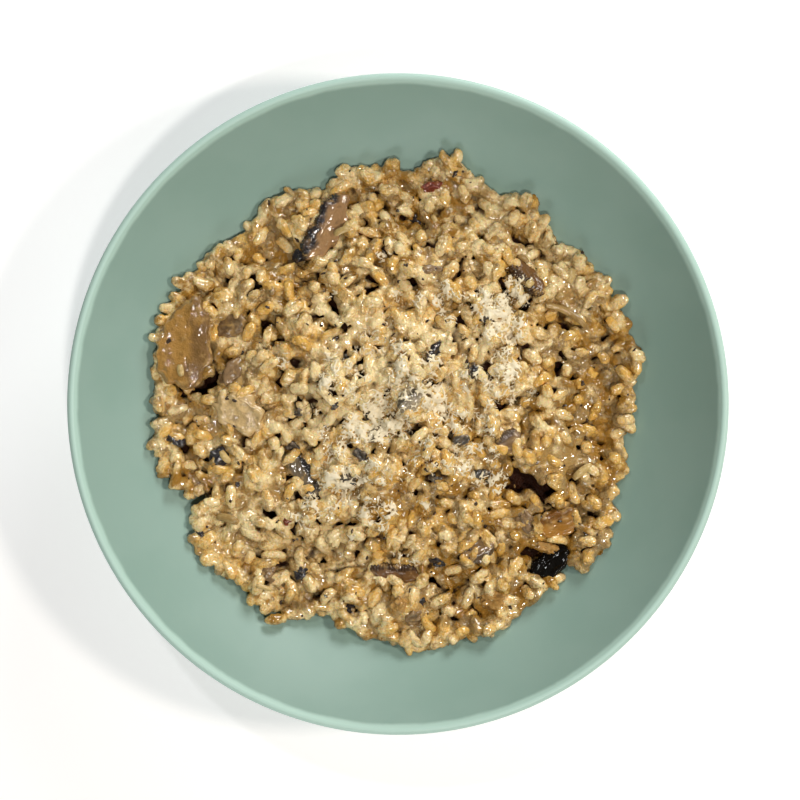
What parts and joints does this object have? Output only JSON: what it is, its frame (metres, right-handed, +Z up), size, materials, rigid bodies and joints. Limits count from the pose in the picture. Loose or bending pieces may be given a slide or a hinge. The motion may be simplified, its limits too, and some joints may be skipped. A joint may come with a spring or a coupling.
{
  "type": "bowl of mushroom risotto",
  "caption": "Creamy mushroom risotto with grated cheese, heaped in a wide shallow bowl with a sloping wall, a rounded lip and a foot ring.",
  "frame": {"origin": "middle of the foot ring's resting plane", "axes": "+Z up out of the bowl, +X to the diner's right, +Y away from the diner"},
  "size_m": [0.23, 0.23, 0.045],
  "materials": {
    "glaze": "satin sage green glaze, paler at the lip",
    "rice": "moist rice in a glossy cream sauce",
    "mushroom": "moist cooked mushroom, brown with dark gills",
    "cheese": "finely grated hard cheese",
    "onion": "soft translucent cooked onion"
  },
  "bodies": {
    "root": {"bowl": "glaze", "risotto_heap": "rice", "mushroom_cap_slice": "mushroom", "mushroom_gill_slice": "mushroom", "mushroom_creamy_slice": "mushroom", "mushroom_tucked_slice": "mushroom", "mushroom_amber_slice": "mushroom", "mushroom_black_slice": "mushroom", "mushroom_edge_slice": "mushroom", "mushroom_grey_slice": "mushroom", "mushroom_middle_slice": "mushroom", "mushroom_left_slice": "mushroom", "mushroom_right_slice": "mushroom"}
  },
  "joints": []
}
